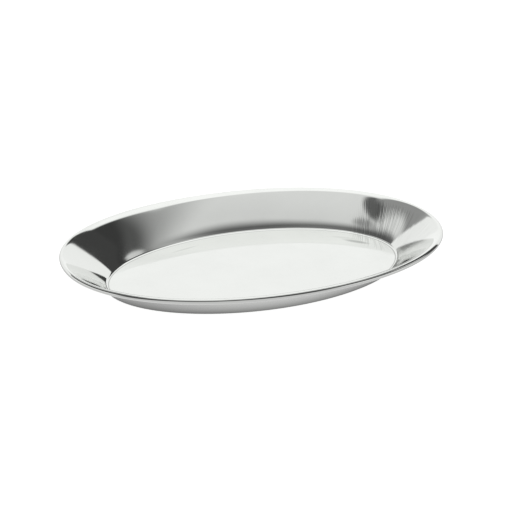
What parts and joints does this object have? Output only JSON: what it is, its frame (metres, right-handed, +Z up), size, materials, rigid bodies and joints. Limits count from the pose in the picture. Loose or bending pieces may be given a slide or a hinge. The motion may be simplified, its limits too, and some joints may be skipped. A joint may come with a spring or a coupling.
{
  "type": "oval dish",
  "caption": "Shallow oval dish pressed from one stainless steel sheet, with a flat floor, a flared wall and a rolled rim.",
  "frame": {"origin": "on the surface the dish stands on, under the middle of its floor", "axes": "+Z up out of the dish, +X along its length, +Y across its width"},
  "size_m": [0.25, 0.178, 0.022],
  "materials": {
    "polished_stainless": "polished stainless steel, with fine draw ridges on the wall at one end"
  },
  "bodies": {
    "root": {"dish_body": "polished_stainless"}
  },
  "joints": []
}
